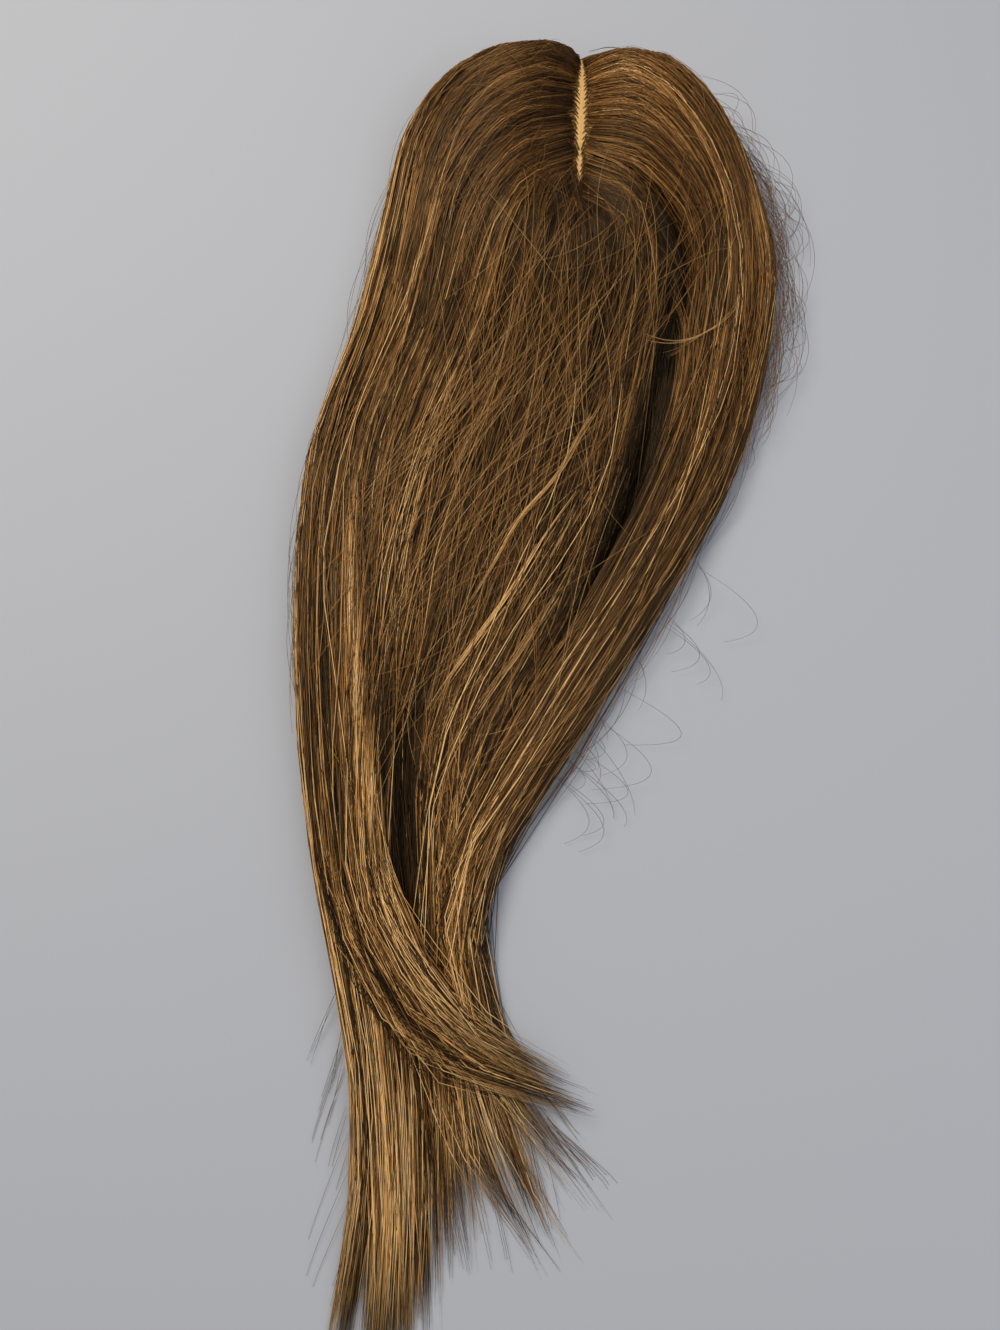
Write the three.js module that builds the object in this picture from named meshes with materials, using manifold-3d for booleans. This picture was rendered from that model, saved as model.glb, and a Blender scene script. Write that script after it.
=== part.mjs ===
// A clip-in hair topper lying on a flat surface: a domed base with a middle parting, long straight hair in
// locks to the left, the right and the back of it, and four plain clips under the base.
// Millimetres, +Z up. The sizes below are laid out with x = 0 on the parting and +x to the wearer's right,
// y = 0 near the front end of the parting with the tips towards -y, and z = 0 on the surface.
import * as THREE from "three";
import { mergeVertices } from "three/addons/utils/BufferGeometryUtils.js";
import Module from "manifold-3d";

const wasm = await Module();
wasm.setup();

// Driving sizes
const BASE_WIDTH = 116;
const BASE_DEPTH = 120;
const BASE_FRONT = 10;
const BASE_MIDDLE = BASE_FRONT - BASE_DEPTH / 2;
const BASE_CROWN = 24;
const BASE_POWER = 3;
const DRAPE_POWER = 2.5;
const DRAPE_SIDE = 12;
const DRAPE_FRONT = 3;
const DRAPE_BACK = 20;
const BASE_WALL = 1.2;
const PARTING_HALF_WIDTH = 2.2;
const PARTING_LENGTH = 62;
const PARTING_END_LEAN = 0.7;
const ROOT_REACH = 0.95;
const BELLY_REACH = 0.48;
const GAP = 0.35;
const CLIP_LENGTH = 30;
const CLIP_WIDTH = 8;
const CLIP_THICKNESS = 1.6;
const CLIP_STAND_OFF = 0.7;
const CLIP_PLACE = 0.74;
const LOCK_SECTION_STEPS = 6;
const LOCK_EDGE = 0.25;
const LOCK_STATIONS = 25;
const TURN_STEPS = 4;
const STATION_CROWDING = 1.15;
const DOME_SIDES = 40;
const DOME_RINGS = 8;
const TIP_WIDTH = 3;
const TIP_HEIGHT = 1.5;
const TIP_TAPER = { from: -10, to: 55 };
const ROOT_SWELL = { from: -12, to: 24 };
const CROSSING = { from: 275, to: 335 };

// Levels down the length where each lock's place is given
const LEVELS = { belly: -108, flank: -162, waist: -216, gather: -267, neck: -315, tail: -361, fan: -406 };

// A lock's usual width and thickness, down the length
const LOCK_SHAPE = [
  { y: 0, width: 20, loft: 14 },
  { y: -50, width: 17, loft: 10 },
  { y: LEVELS.belly, width: 15, loft: 12 },
  { y: LEVELS.flank, width: 17, loft: 14 },
  { y: LEVELS.waist, width: 17, loft: 14 },
  { y: LEVELS.gather, width: 15, loft: 13 },
  { y: LEVELS.neck, width: 12, loft: 12 },
  { y: LEVELS.tail, width: 11, loft: 10 },
  { y: LEVELS.fan, width: 9, loft: 7 },
  { y: -460, width: 7, loft: 5 },
];

// One row for each lock: how far back it leaves the parting, where its middle lies
// at each level, its tip, its share of the usual width and loft, and how high it is carried where it crosses.
// Where a lock turns more tightly than usual, its row has its own reaches.
const LEFT_LOCKS = [
  { root: -3, belly: -76, flank: -90, waist: -94, gather: -91, neck: -84, tail: -75, fan: -73,
    tipX: -78, tipY: -455, width: 0.8, loft: 0.95, carried: 0 },
  { root: 10, belly: -69, flank: -85, waist: -89, gather: -85, neck: -78, tail: -50,
    tipX: -12, tipY: -376, width: 1.1, loft: 0.9, carried: 7 },
  { root: 24, belly: -62, flank: -79, waist: -81, gather: -77, neck: -70, tail: -36,
    tipX: -14, tipY: -371, width: 1.1, loft: 0.9, carried: 7 },
  { root: 37, belly: -54, flank: -71, waist: -74, gather: -74, neck: -73, tail: -69, fan: -66,
    tipX: -70, tipY: -462, width: 0.95, loft: 0.95, carried: 0 },
  { root: 50, belly: -43, flank: -62, waist: -69, gather: -71, neck: -70, tail: -63, fan: -61,
    tipX: -63, tipY: -458, width: 0.95, loft: 0.95, carried: 0 },
];
const BACK_LOCKS = [
  { root: 60, belly: -30, flank: -49, waist: -60, gather: -66, neck: -63, tail: -57, fan: -54,
    tipX: -55, tipY: -446, width: 1.1, loft: 0.85, carried: 0 },
  { root: 62, belly: -16, flank: -34, waist: -49, gather: -60, neck: -59, tail: -53, fan: -49,
    tipX: -48, tipY: -440, width: 1.1, loft: 0.85, carried: 0 },
  { root: 64, belly: -2, flank: -18, waist: -36, gather: -51, neck: -51, tail: -49, fan: -42,
    tipX: -40, tipY: -428, width: 1.1, loft: 0.8, carried: 0 },
  { root: 63, belly: 12, flank: -2, waist: -21, gather: -44, neck: -49, tail: -48, fan: -30,
    tipX: -20, tipY: -418, width: 1.1, loft: 0.9, carried: 0 },
  { root: 61, belly: 23, flank: 11, waist: -8, gather: -35, neck: -46, tail: -37, fan: -23,
    tipX: -17, tipY: -418, width: 1, loft: 0.8, carried: 0 },
  { root: 55, belly: 34, flank: 23, waist: 1, gather: -30, neck: -44, tail: -35, fan: -20,
    tipX: -14, tipY: -414, width: 1, loft: 0.5, carried: 0 },
];
const RIGHT_LOCKS = [
  { root: -3, belly: 67, flank: 51, waist: 21, gather: -11, neck: -37, tail: -27,
    tipX: -9, tipY: -386, width: 0.8, loft: 0.95, carried: 0, rootReach: 0.72, bellyReach: 0.38 },
  { root: 11, belly: 60, flank: 46, waist: 17, gather: -15, neck: -40, tail: -29,
    tipX: -5, tipY: -396, width: 0.9, loft: 1, carried: 0, rootReach: 0.78, bellyReach: 0.4 },
  { root: 27, belly: 53, flank: 40, waist: 13, gather: -19, neck: -43, tail: -32,
    tipX: -4, tipY: -404, width: 0.9, loft: 1.1, carried: 0, rootReach: 0.85, bellyReach: 0.44 },
  { root: 41, belly: 47, flank: 35, waist: 8, gather: -25, neck: -47, tail: -35,
    tipX: -12, tipY: -410, width: 0.9, loft: 1.1, carried: 0 },
];

// Height that the hair is carried to by the dome, sloping off to the surface beyond it
function drapeHeight(x, y) {
  const ahead = y - BASE_MIDDLE;
  const across = x / (BASE_WIDTH / 2 + DRAPE_SIDE);
  const along = ahead / (BASE_DEPTH / 2 + (ahead > 0 ? DRAPE_FRONT : DRAPE_BACK));
  return Math.max(0, (BASE_CROWN + GAP) * (1 - Math.hypot(across, along) ** DRAPE_POWER));
}

// Value of one column of a table, between the rows around y
function between(rows, y, column) {
  const last = rows.length - 1;
  const next = rows.findIndex((row) => row.y <= y);
  if (next === 0) return rows[0][column];
  if (next < 0) return rows[last][column];
  const share = (rows[next - 1].y - y) / (rows[next - 1].y - rows[next].y);
  return THREE.MathUtils.lerp(rows[next - 1][column], rows[next][column], share);
}

// Solid of a geometry once its shared vertices are merged
function solidOf(geometry) {
  geometry.deleteAttribute("normal");
  geometry.deleteAttribute("uv");
  const merged = mergeVertices(geometry, 1e-3);
  const vertProperties = merged.getAttribute("position").array;
  const triVerts = new Uint32Array(merged.index.array);
  return new wasm.Manifold(new wasm.Mesh({ numProp: 3, vertProperties, triVerts }));
}

function geometryOf(solid) {
  const { vertProperties, triVerts } = solid.getMesh();
  const geometry = new THREE.BufferGeometry();
  geometry.setAttribute("position", new THREE.BufferAttribute(vertProperties, 3));
  geometry.setIndex(new THREE.BufferAttribute(triVerts, 1));
  geometry.computeVertexNormals();
  return geometry;
}

// Closed geometry through rings of points. Each ring runs anticlockwise seen along the sweep.
function throughRings(rings) {
  const size = rings[0].length;
  const last = (rings.length - 1) * size;
  const index = [];
  for (let k = 1; k < size - 1; k += 1) {
    index.push(0, k, k + 1);
    index.push(last, last + k + 1, last + k);
  }
  for (let start = 0; start < last; start += size) {
    for (let k = 0; k < size; k += 1) {
      const next = (k + 1) % size;
      index.push(start + k, start + size + k, start + size + next);
      index.push(start + k, start + size + next, start + next);
    }
  }
  const geometry = new THREE.BufferGeometry().setFromPoints(rings.flat());
  geometry.setIndex(index);
  return geometry;
}

// A lock's middle line in plan: out of the parting, round the side of the head, then through the levels
function lockLine(row) {
  const side = Math.sign(row.belly);
  const root = new THREE.Vector3(side * PARTING_HALF_WIDTH, -row.root, 0);
  const belly = new THREE.Vector3(row.belly, LEVELS.belly, 0);
  const flank = new THREE.Vector3(row.flank, LEVELS.flank, 0);
  const lean = (row.root / PARTING_LENGTH) * PARTING_END_LEAN;
  const reach = (row.rootReach ?? ROOT_REACH) * Math.abs(row.belly - root.x);
  const out = root.clone().add(new THREE.Vector3(side * reach * Math.cos(lean), -reach * Math.sin(lean), 0));
  const back = flank.clone().sub(belly).setLength((row.bellyReach ?? BELLY_REACH) * (root.y - belly.y));
  const turn = new THREE.CubicBezierCurve3(root, out, belly.clone().sub(back), belly);
  const points = turn.getPoints(TURN_STEPS);
  for (const [level, y] of Object.entries(LEVELS)) {
    if (level !== "belly" && row[level] !== undefined) points.push(new THREE.Vector3(row[level], y, 0));
  }
  points.push(new THREE.Vector3(row.tipX, row.tipY, 0));
  return new THREE.CatmullRomCurve3(points, false, "centripetal");
}

// Ring of a lock: a low arch over the dome, or over the surface beyond it, standing on a flat side
function lockRing(place, ahead, halfWidth, bottom, loft, grow) {
  const side = new THREE.Vector3(ahead.y, -ahead.x, 0).normalize();
  const at = (across) => place.clone().addScaledVector(side, across * (halfWidth + grow));
  const ring = [];
  for (let step = 0; step <= LOCK_SECTION_STEPS; step += 1) {
    const angle = (step / LOCK_SECTION_STEPS) * Math.PI;
    const point = at(Math.cos(angle));
    const arch = LOCK_EDGE + (1 - LOCK_EDGE) * Math.sin(angle);
    ring.push(point.setZ(bottom + drapeHeight(point.x, point.y) + loft * arch + grow));
  }
  const foot = bottom - grow;
  return [at(1).setZ(foot), ...ring, at(-1).setZ(foot)];
}

// One lock, made larger all round by grow
function lockSolid(row, grow) {
  const line = lockLine(row);
  const length = line.getLength();
  const rings = [];
  for (let station = 0; station < LOCK_STATIONS; station += 1) {
    const share = (station / (LOCK_STATIONS - 1)) ** STATION_CROWDING;
    const place = line.getPointAt(share);
    const swell = THREE.MathUtils.smoothstep(share * length, ROOT_SWELL.from, ROOT_SWELL.to);
    const taper = THREE.MathUtils.smoothstep((1 - share) * length, TIP_TAPER.from, TIP_TAPER.to);
    const crossing = THREE.MathUtils.smoothstep(-place.y, CROSSING.from, CROSSING.to);
    const width = row.width * between(LOCK_SHAPE, place.y, "width");
    const loft = row.loft * between(LOCK_SHAPE, place.y, "loft");
    rings.push(lockRing(
      place,
      line.getTangentAt(share),
      THREE.MathUtils.lerp(TIP_WIDTH, width, taper) / 2,
      row.carried * crossing,
      THREE.MathUtils.lerp(TIP_HEIGHT, loft, taper) * swell,
      grow,
    ));
  }
  return solidOf(throughRings(rings));
}

function hairSolid(rows, grow) {
  return rows.map((row) => lockSolid(row, grow)).reduce((whole, lock) => whole.add(lock));
}

// Outline of the dome from its crown to its rim, as radius and height shares
function domeProfile(halfWidth, crown) {
  const points = [];
  for (let ring = 0; ring <= DOME_RINGS; ring += 1) {
    const share = ring / DOME_RINGS;
    points.push(new THREE.Vector2(halfWidth * share, crown * (1 - share ** BASE_POWER)));
  }
  return points;
}

// Turns a profile about the upright axis through the middle of the base and stretches it to the base's depth
function turned(profile, grow) {
  const geometry = new THREE.LatheGeometry(profile, DOME_SIDES);
  geometry.rotateX(Math.PI / 2);
  geometry.scale(1, (BASE_DEPTH / 2 + grow) / (BASE_WIDTH / 2 + grow), 1);
  geometry.translate(0, BASE_MIDDLE, 0);
  return solidOf(geometry);
}

function baseSolid() {
  const outer = domeProfile(BASE_WIDTH / 2, BASE_CROWN);
  const inner = domeProfile(BASE_WIDTH / 2 - BASE_WALL, BASE_CROWN - BASE_WALL);
  return turned([...inner, ...outer.reverse()], 0);
}

// The room that the base and the head under it take, with the gap that the hair keeps to it
function headRoom() {
  const below = -5;
  const outer = domeProfile(BASE_WIDTH / 2 + GAP, BASE_CROWN + GAP);
  const foot = new THREE.Vector2(BASE_WIDTH / 2 + GAP, below);
  return turned([new THREE.Vector2(0, below), foot, ...outer.reverse()], GAP);
}

// The largest body of a solid, without the crumbs that a cut leaves
function mainBody(solid) {
  return solid.decompose().reduce((largest, body) => (body.volume() > largest.volume() ? body : largest));
}

// A clip: a flat bar that follows the inside of the dome at one height
function clipGeometry(bearing) {
  const middle = new THREE.Vector3(0, BASE_MIDDLE, 0);
  const halfTurn = CLIP_LENGTH / 2 / (CLIP_PLACE * BASE_WIDTH / 2);
  const slope = Math.atan2(BASE_POWER * CLIP_PLACE ** (BASE_POWER - 1) * BASE_CROWN, BASE_WIDTH / 2);
  const height = (BASE_CROWN - BASE_WALL) * (1 - CLIP_PLACE ** BASE_POWER);
  const rings = [];
  for (const step of [-1, -0.6, -0.2, 0.2, 0.6, 1]) {
    const angle = bearing + step * halfTurn;
    const out = new THREE.Vector3(Math.cos(angle), Math.sin(angle) * BASE_DEPTH / BASE_WIDTH, 0);
    const place = middle.clone().addScaledVector(out, CLIP_PLACE * (BASE_WIDTH / 2 - BASE_WALL));
    place.z = height;
    out.normalize();
    const down = out.clone().multiplyScalar(Math.cos(slope)).setZ(-Math.sin(slope));
    const inward = out.clone().multiplyScalar(-Math.sin(slope)).setZ(-Math.cos(slope));
    const corner = (across, deep) => place.clone().addScaledVector(down, across).addScaledVector(inward, deep);
    const half = CLIP_WIDTH / 2;
    const face = CLIP_STAND_OFF + CLIP_THICKNESS;
    rings.push([
      corner(-half, CLIP_STAND_OFF),
      corner(-half, face),
      corner(half, face),
      corner(half, CLIP_STAND_OFF),
    ]);
  }
  return throughRings(rings);
}

const scalpTan = new THREE.MeshStandardMaterial({ color: 0xd2a26a, roughness: 0.75, metalness: 0 });
const brownHair = new THREE.MeshStandardMaterial({ color: 0x4a3320, roughness: 0.45, metalness: 0 });
const clipMetal = new THREE.MeshStandardMaterial({ color: 0x3a2c22, roughness: 0.4, metalness: 0.8 });

const topper = new THREE.Group();

function place(name, geometry, material) {
  const mesh = new THREE.Mesh(geometry, material);
  mesh.name = name;
  topper.add(mesh);
}

place("scalp_base", geometryOf(baseSolid()), scalpTan);

const head = headRoom();
const leftHair = hairSolid(LEFT_LOCKS, 0).subtract(head);
const rightHair = hairSolid(RIGHT_LOCKS, 0).subtract(head).subtract(hairSolid(LEFT_LOCKS, GAP));
const aroundBack = hairSolid([...LEFT_LOCKS, ...RIGHT_LOCKS], GAP);
const backHair = hairSolid(BACK_LOCKS, 0).subtract(head).subtract(aroundBack);
place("hair_left", geometryOf(mainBody(leftHair)), brownHair);
place("hair_right", geometryOf(mainBody(rightHair)), brownHair);
place("hair_back", geometryOf(mainBody(backHair)), brownHair);

const CLIP_BEARINGS = { front_left: 125, front_right: 55, back_left: 235, back_right: 305 };
for (const [corner, degrees] of Object.entries(CLIP_BEARINGS)) {
  place(`clip_${corner}`, clipGeometry(THREE.MathUtils.degToRad(degrees)), clipMetal);
}

// The origin is under the middle of the whole piece, on the surface that it lies on
const middle = new THREE.Box3().setFromObject(topper).getCenter(new THREE.Vector3());
topper.position.set(-middle.x, -middle.y, 0);
const part = new THREE.Group();
part.add(topper);

export default part;
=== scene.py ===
import math

import bmesh
import bpy
import numpy as np
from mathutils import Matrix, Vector


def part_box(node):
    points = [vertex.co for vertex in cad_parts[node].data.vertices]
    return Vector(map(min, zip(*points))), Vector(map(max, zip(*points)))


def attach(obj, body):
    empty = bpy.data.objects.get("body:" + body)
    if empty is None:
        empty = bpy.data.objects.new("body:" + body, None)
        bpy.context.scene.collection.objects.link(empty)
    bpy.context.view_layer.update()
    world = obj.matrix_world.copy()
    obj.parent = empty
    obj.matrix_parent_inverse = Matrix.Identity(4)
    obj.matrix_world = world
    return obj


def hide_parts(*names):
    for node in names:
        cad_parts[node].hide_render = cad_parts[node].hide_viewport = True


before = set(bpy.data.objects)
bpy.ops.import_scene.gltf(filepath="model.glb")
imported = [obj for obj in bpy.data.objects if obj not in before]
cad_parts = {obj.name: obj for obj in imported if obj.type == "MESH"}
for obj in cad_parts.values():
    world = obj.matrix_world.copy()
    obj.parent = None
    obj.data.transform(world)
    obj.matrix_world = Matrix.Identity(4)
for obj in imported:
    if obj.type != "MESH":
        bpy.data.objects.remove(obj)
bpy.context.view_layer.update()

mm = 0.001
scene = bpy.context.scene

# base: the domed cap under the hair, and how the hair is carried off it
base = {"width": 116, "depth": 120, "front": 10, "crown": 24, "power": 3, "wall": 1.2, "profileSteps": 20,
        "turnSteps": 96, "mergeMm": 0.01}
drape = {"side": 12, "front": 3, "back": 20, "power": 2.5}
baseMiddle = base["front"] - base["depth"] / 2

# places below are in millimetres: x = 0 on the parting, y = 0 near its front end, z = 0 on the floor
baseLow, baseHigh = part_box("scalp_base")
partingX = (baseLow.x + baseHigh.x) / 2
hairlineY = baseHigh.y - base["front"] * mm


def toRow(points):
    return np.asarray(points, float) * mm + np.array([partingX, hairlineY, 0.0])


def linear(hexColour):
    parts = [int(hexColour[i:i + 2], 16) / 255 for i in (1, 3, 5)]
    return [c / 12.92 if c <= 0.04045 else ((c + 0.055) / 1.055) ** 2.4 for c in parts] + [1.0]


def addNode(tree, kind, settings=None, links=None):
    node = tree.nodes.new(kind)
    for name, value in (settings or {}).items():
        if isinstance(name, int) or name in node.inputs:
            node.inputs[name].default_value = value
        else:
            setattr(node, name, value)
    for name, source in (links or {}).items():
        tree.links.new(source, node.inputs[name])
    return node


def newMaterial(name):
    material = bpy.data.materials.new(name)
    material.use_nodes = True
    material.node_tree.nodes.clear()
    return material, material.node_tree


def setRamp(node, stops):
    ramp = node.color_ramp
    while len(ramp.elements) < len(stops):
        ramp.elements.new(0.5)
    for element, (position, hexColour) in zip(ramp.elements, stops):
        element.position = position
        element.color = linear(hexColour)


def smooth(value, low, high):
    t = np.clip((value - low) / (high - low), 0, 1)
    return t * t * (3 - 2 * t)


# camera: a phone's wide lens above the lower half of the hair
photoCamera = {"place": (-28.5, -300, 330), "leanDeg": 11, "focalPx": 960, "longSidePx": 1330, "sensor": 36,
               "nearest": 0.01}

cameraData = bpy.data.cameras.new("camera")
cameraData.sensor_width = photoCamera["sensor"]
cameraData.lens = photoCamera["sensor"] * photoCamera["focalPx"] / photoCamera["longSidePx"]
cameraData.clip_start = photoCamera["nearest"]
camera = bpy.data.objects.new("camera", cameraData)
camera.location = toRow(photoCamera["place"])
camera.rotation_euler = (math.radians(photoCamera["leanDeg"]), 0, 0)
scene.collection.objects.link(camera)
scene.camera = camera
print("camera set")


def domeHeight(x, y):
    r = np.hypot(x / (base["width"] / 2), (y - baseMiddle) / (base["depth"] / 2))
    return np.maximum(0, base["crown"] * (1 - r ** base["power"]))


def drapeHeight(x, y):
    ahead = y - baseMiddle
    reach = base["depth"] / 2 + np.where(ahead > 0, drape["front"], drape["back"])
    r = np.hypot(x / (base["width"] / 2 + drape["side"]), ahead / reach)
    return np.maximum(0, base["crown"] * (1 - r ** drape["power"]))


# locks: where each one leaves the parting, where its middle lies at each level down the length, and its tip,
# then its share of the usual width and loft, and how long its shortest and longest clumps are
levels = {"belly": -108, "flank": -162, "waist": -216, "gather": -267, "neck": -315, "tail": -361,
          "fan": -406}
lockRows = {
    "hair_left": [
        dict(root=-3, belly=-76, flank=-91.5, waist=-94, gather=-91, neck=-84, tail=-73, fan=-71,
             tip=(-79, -455), width=0.8, loft=0.95, ends=(0.975, 1.01), open="left", rootTone=0.08),
        dict(root=10, belly=-69, flank=-85, waist=-89, gather=-85, neck=-78, tail=-50,
             tip=(-12, -376), width=1.1, loft=0.9, ends=(0.92, 1.04), carried=7),
        dict(root=24, belly=-62, flank=-79, waist=-81, gather=-77, neck=-70, tail=-36,
             tip=(-14, -371), width=1.1, loft=0.9, ends=(0.92, 1.04), carried=7),
        dict(root=37, belly=-54, flank=-71, waist=-74, gather=-74, neck=-73, tail=-67.5, fan=-64,
             tip=(-67, -462), width=0.95, loft=0.95, ends=(0.965, 1.0)),
        dict(root=50, belly=-43, flank=-62, waist=-69, gather=-71, neck=-70, tail=-61.5, fan=-58.5,
             tip=(-60, -458), width=0.95, loft=0.95, ends=(0.96, 1.0)),
    ],
    "hair_back": [
        dict(root=60, belly=-30, flank=-49, waist=-60, gather=-66, neck=-63, tail=-57, fan=-54,
             tip=(-52, -452), width=1.1, loft=0.85, ends=(0.9, 1.02), ragged=0.05, sunk=(232, 258, 0.9)),
        dict(root=62, belly=-16, flank=-34, waist=-49, gather=-60, neck=-59, tail=-53, fan=-49,
             tip=(-48, -440), width=1.1, loft=0.85, ends=(0.86, 1.02), ragged=0.06, sunk=(255, 282, 0.9)),
        dict(root=64, belly=-2, flank=-18, waist=-36, gather=-51, neck=-51, tail=-49, fan=-42,
             tip=(-40, -428), width=1.1, loft=0.8, ends=(0.84, 1.05), ragged=0.07),
        dict(root=63, belly=12, flank=-2, waist=-21, gather=-44, neck=-49, tail=-48, fan=-30,
             tip=(-20, -418), width=1.1, loft=0.9),
        dict(root=61, belly=23, flank=11, waist=-8, gather=-35, neck=-46, tail=-37, fan=-23,
             tip=(-17, -418), width=1.0, loft=0.8, rootTone=-0.02),
        dict(root=55, belly=34, flank=23, waist=1, gather=-30, neck=-44, tail=-35, fan=-20,
             tip=(-14, -414), width=1.0, loft=0.65, sunk=(62, 85, 0.95)),
    ],
    "hair_right": [
        dict(root=-3, belly=67, flank=51, waist=21, gather=-11, neck=-38.5, tail=-32,
             tip=(-9, -386), width=0.8, loft=0.95, rootReach=0.72, bellyReach=0.38, open="right",
             rootTone=0.14),
        dict(root=11, belly=60, flank=46, waist=17, gather=-15, neck=-41, tail=-33.5,
             tip=(-5, -396), width=0.9, loft=1.0, rootReach=0.78, bellyReach=0.4, rootTone=0.18),
        dict(root=27, belly=53, flank=40, waist=13, gather=-19, neck=-43, tail=-34,
             tip=(-4, -404), width=0.9, loft=1.1, rootReach=0.85, bellyReach=0.44, rootTone=0.2),
        dict(root=41, belly=47, flank=35, waist=8, gather=-25, neck=-47, tail=-35,
             tip=(-12, -410), width=0.9, loft=1.1, open="left", rootTone=0.18),
    ],
}

# what a lock has where its row says nothing else: how high it is carried where it crosses, its open side,
# where it sinks between its neighbours (from, to, share), how far it runs out before it turns, how many of
# its strands run loose, how far their tones differ near the root, how ragged its end is, and the painted light
# (above zero) or painted shade (below zero) at its root
usualLock = {"carried": 0, "open": "", "sunk": (0, 1, 0), "rootReach": 0.95, "bellyReach": 0.48,
             "loose": 0.09, "contrast": 0.62, "ragged": 0.02}
usualIn = {
    "hair_left": dict(rootTone=0.06),
    "hair_back": dict(rootTone=-0.04, loose=0.2, contrast=0.75, ragged=0.08, ends=(0.8, 1.05)),
    "hair_right": dict(ragged=0.08, ends=(0.8, 1.05)),
}
lockShape = {
    "y": [0, -50, -108, -162, -216, -267, -315, -361, -406, -460],
    "width": [20, 17, 15, 17, 17, 15, 12, 11, 9, 7],
    "loft": [14, 10, 12, 14, 14, 13, 12, 10, 7, 5],
}
lockForm = {
    "partingHalf": 2.2, "partingLength": 62, "endLean": 0.7, "turnPoints": 5, "fineSteps": 24,
    "tipWidth": 8, "tipLoft": 2.0, "tipTaper": (-10, 55), "crossing": (275, 335),
    "rootEdge": 1.0, "closedEdge": 0.62, "openEdge": 0.25, "rootFlat": (10, 70), "parted": (300, 375),
    "overEdge": 0.2, "edgeFall": 0.9, "stations": 160, "runIn": 14, "runOut": 26,
}

# strip: the bare base along the parting, by half its width at places from front to back. Nothing is bare
# behind it, towards the front it leans to the right, and its edges are barbed where the roots stand in rows
strip = {
    "y": [3, -9, -19, -31, -47, -51, -55, -62, -66],
    "half": [0.3, 1.1, 1.9, 2.3, 2.2, 0.4, 1.5, 1.1, 0.0],
    "none": -99, "least": 0.1, "lean": 0.05, "straightAt": -60,
    "barb": 0.6, "barbEvery": 2.2, "barbSlope": 0.4, "uneven": 0.12,
    "crownRoots": 58, "crownStart": 54, "crownLate": 8, "crownShare": 0.5,
    "riseFrom": -2, "riseTo": (12, 24), "riseAt": (0, -40), "search": (0, 40, 161),
}

# the hair bends down over the front rim, a little further back on the right
brow = {"left": 3.3, "right": -0.8, "high": 14, "slope": 1.15, "round": 0.05}


def stripMiddle(y):
    return strip["lean"] * (np.clip(y, strip["y"][-1], strip["y"][0]) - strip["straightAt"])


def browHeight(y, side):
    back = (brow["left"] if side < 0 else brow["right"]) - y
    return brow["high"] + brow["slope"] * back + brow["round"] * np.maximum(back, 0) ** 2


def bareStrip(y):
    bare = np.interp(-y, -np.array(strip["y"]), strip["half"])
    return np.where(y > strip["y"][-1], bare, strip["none"])


def rootRise(x, y):
    # the hair lies flat where it leaves the strip and comes up to its full loft away from it
    past = np.maximum(strip["y"][-1] - y, 0)
    reach = np.interp(-y, -np.array(strip["riseAt"]), strip["riseTo"])
    return smooth(np.hypot(x - stripMiddle(y), past), strip["riseFrom"], reach)


def smoothLine(points, steps):
    pts = np.asarray(points, float)
    pts = np.vstack([2 * pts[0] - pts[1], pts, 2 * pts[-1] - pts[-2]])
    knots = np.concatenate([[0], np.cumsum(np.sqrt(np.linalg.norm(np.diff(pts, axis=0), axis=1)))])
    fine = []
    for i in range(1, len(pts) - 2):
        s = np.linspace(knots[i], knots[i + 1], steps, endpoint=False)[:, None]
        t0, t1, t2, t3 = knots[i - 1:i + 3]
        a1 = pts[i - 1] * (t1 - s) / (t1 - t0) + pts[i] * (s - t0) / (t1 - t0)
        a2 = pts[i] * (t2 - s) / (t2 - t1) + pts[i + 1] * (s - t1) / (t2 - t1)
        a3 = pts[i + 1] * (t3 - s) / (t3 - t2) + pts[i + 2] * (s - t2) / (t3 - t2)
        b1 = a1 * (t2 - s) / (t2 - t0) + a2 * (s - t0) / (t2 - t0)
        b2 = a2 * (t3 - s) / (t3 - t1) + a3 * (s - t1) / (t3 - t1)
        fine.append(b1 * (t2 - s) / (t2 - t1) + b2 * (s - t1) / (t2 - t1))
    return np.vstack(fine + [pts[-2:-1]])


def lengthsAlong(line):
    return np.concatenate([[0], np.cumsum(np.linalg.norm(np.diff(line, axis=0), axis=1))])


def heading(start, end):
    return (end - start) / np.linalg.norm(end - start)


def lockLine(row):
    # out of the parting, round the side of the head, then through the levels
    side = math.copysign(1, row["belly"])
    root = np.array([side * lockForm["partingHalf"], -row["root"]])
    belly = np.array([row["belly"], levels["belly"]])
    flank = np.array([row["flank"], levels["flank"]])
    lean = row["root"] / lockForm["partingLength"] * lockForm["endLean"]
    away = np.array([side * math.cos(lean), -math.sin(lean)])
    out = root + away * row["rootReach"] * abs(belly[0] - root[0])
    back = belly - heading(belly, flank) * row["bellyReach"] * (root[1] - belly[1])
    t = np.linspace(0, 1, lockForm["turnPoints"])[:, None]
    turn = root * (1 - t) ** 3 + 3 * out * t * (1 - t) ** 2 + 3 * back * t ** 2 * (1 - t) + belly * t ** 3
    rest = [(row[name], y) for name, y in levels.items() if name != "belly" and name in row]
    fine = smoothLine(np.vstack([turn, rest, [row["tip"]]]), lockForm["fineSteps"])
    before = fine[:1] - heading(fine[0], fine[1]) * lockForm["runIn"]
    after = fine[-1:] + heading(fine[-2], fine[-1]) * lockForm["runOut"]
    return np.vstack([before, fine, after])


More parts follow.
